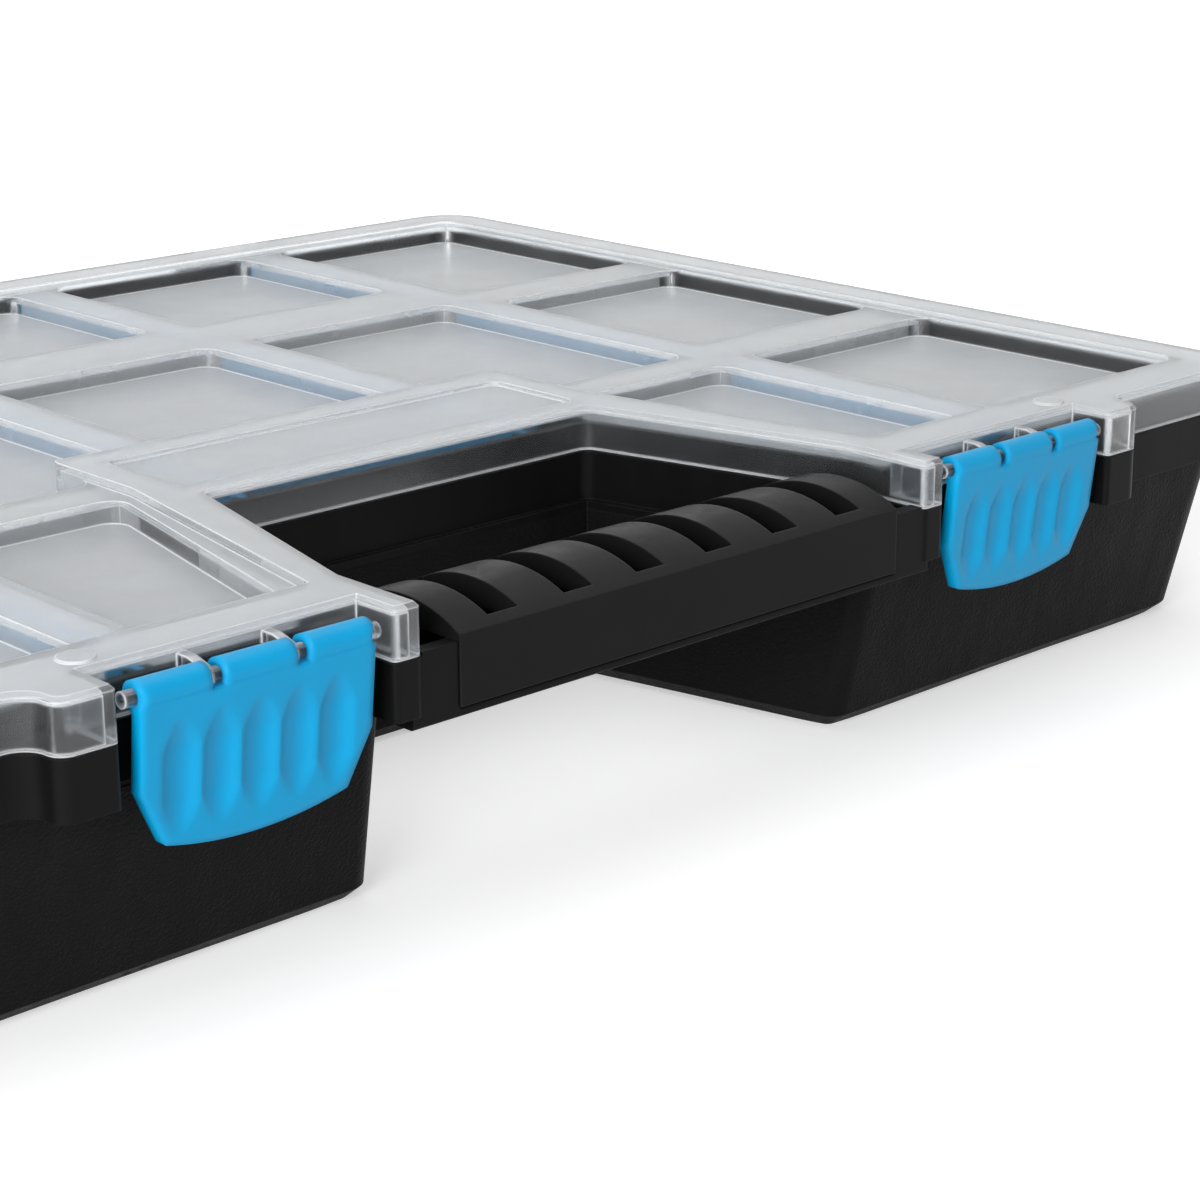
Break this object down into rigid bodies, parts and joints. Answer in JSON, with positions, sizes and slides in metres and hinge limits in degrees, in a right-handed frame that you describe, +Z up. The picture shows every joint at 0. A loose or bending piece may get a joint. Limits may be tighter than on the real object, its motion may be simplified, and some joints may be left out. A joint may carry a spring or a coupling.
{
  "type": "compartment storage case",
  "caption": "Flat rectangular compartment case with a hinged clear lid, snap latches, a cut-out carry handle with a ribbed grip, and removable dividers.",
  "frame": {"origin": "middle of the bounding box, on the surface the case rests on", "axes": "+X to the right along the front, -Y out of the front where the handle is, +Z up"},
  "size_m": [0.4, 0.3132, 0.0645],
  "materials": {
    "tray": "fine pebbled black polypropylene",
    "lid": "milky translucent polypropylene",
    "grip": "smooth black polypropylene",
    "latch": "satin cyan-blue",
    "divider": "satin cyan-blue"
  },
  "bodies": {
    "tray": {"base_tray": "tray", "handle_grip": "grip", "divider_rear_1": "divider", "divider_rear_2": "divider", "divider_rear_3": "divider", "divider_rear_4": "divider", "divider_middle_1": "divider", "divider_middle_2": "divider", "divider_middle_3": "divider", "divider_middle_4": "divider", "divider_front_1": "divider", "divider_front_4": "divider"},
    "lid": {"lid": "lid"},
    "left_latch": {"latch_left": "latch"},
    "right_latch": {"latch_right": "latch"}
  },
  "joints": [
    {"name": "lid_hinge", "type": "hinge", "parent": "tray", "child": "lid", "pos_m": [0, 0.15315, 0.0554], "axis": [-1, 0, 0], "range_deg": [0, 115]},
    {"name": "left_latch_hinge", "type": "hinge", "parent": "lid", "child": "left_latch", "pos_m": [-0.10275, -0.15375, 0.06], "axis": [-1, 0, 0], "range_deg": [0, 150]},
    {"name": "right_latch_hinge", "type": "hinge", "parent": "lid", "child": "right_latch", "pos_m": [0.10275, -0.15375, 0.06], "axis": [-1, 0, 0], "range_deg": [0, 150]}
  ]
}
